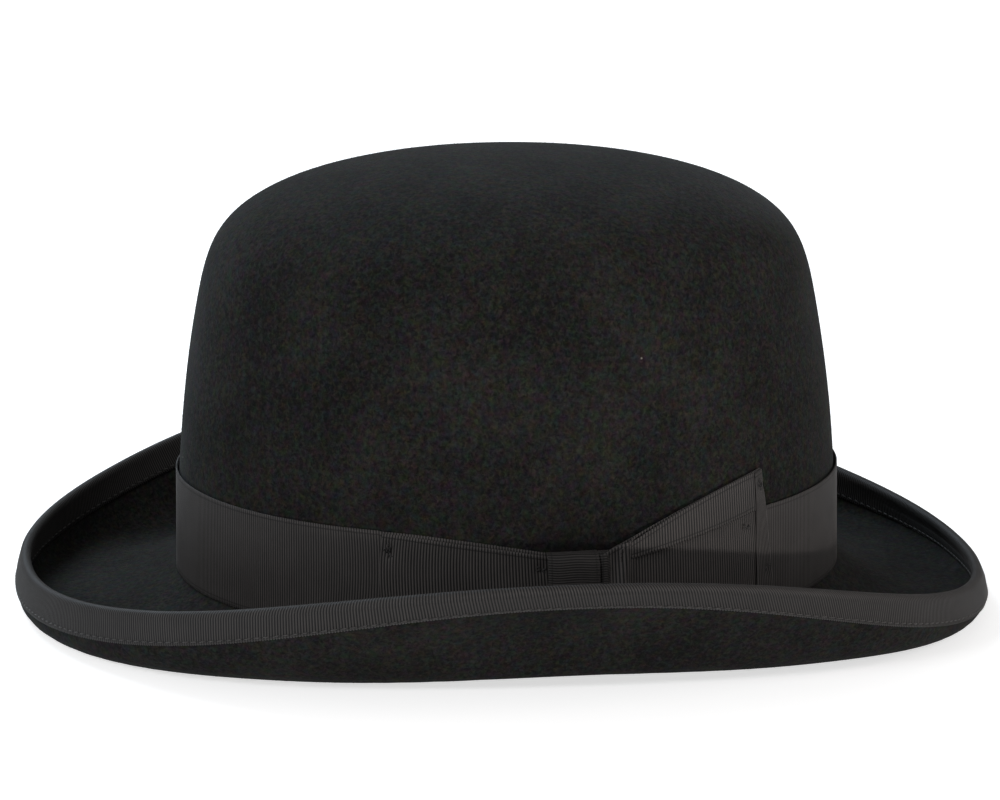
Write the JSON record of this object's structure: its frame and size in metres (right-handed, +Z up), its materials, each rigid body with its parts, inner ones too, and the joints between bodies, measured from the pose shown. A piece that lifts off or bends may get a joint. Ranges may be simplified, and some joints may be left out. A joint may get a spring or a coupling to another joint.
{
  "type": "bowler hat",
  "caption": "Hard felt bowler hat with rounded crown, curled bound brim, ribbon band with side bow, leather sweatband and satin lining.",
  "frame": {"origin": "centre of the hat's bounding box on the floor plane that the brim rests on", "axes": "+Z up, -Y towards the front of the hat, +X towards the wearer's left, the side with the bow"},
  "size_m": [0.265, 0.3117, 0.1429],
  "materials": {
    "felt": "near-black fur felt, short brushed nap, matt with a soft edge sheen",
    "grosgrain_binding": "black grosgrain, ribs across the edge",
    "grosgrain_band": "black grosgrain, upright ribs",
    "grosgrain_bow": "black grosgrain, upright ribs",
    "grosgrain_knot": "black grosgrain, ribs lying across",
    "thread": "black sewing thread",
    "light_thread": "tan sewing thread",
    "leather": "brown calf leather, fine grain",
    "reed": "plain reed",
    "tape": "dark woven welt tape",
    "small_ribbon": "brown ribbon",
    "ticket": "blank paper ticket",
    "satin": "champagne satin",
    "piping": "satin covered cord"
  },
  "bodies": {
    "root": {"felt_body": "felt", "brim_binding": "grosgrain_binding", "binding_stitching": "thread", "hat_band": "grosgrain_band", "bow_front_wing": "grosgrain_bow", "bow_rear_wing": "grosgrain_bow", "bow_rear_pleat": "grosgrain_bow", "bow_rear_hem": "grosgrain_bow", "bow_knot": "grosgrain_knot", "bow_knot_tuck": "grosgrain_knot", "bow_front_tacks": "thread", "bow_rear_tacks": "thread", "band_lower_stitches": "thread", "sweatband": "leather", "sweatband_reed": "reed", "sweatband_reed_tape": "tape", "sweatband_stitching": "light_thread", "sweatband_seam_stitches": "light_thread", "sweatband_bow": "small_ribbon", "size_ticket": "ticket", "lining_side": "satin", "lining_tip": "satin", "lining_piping": "piping"}
  },
  "joints": []
}
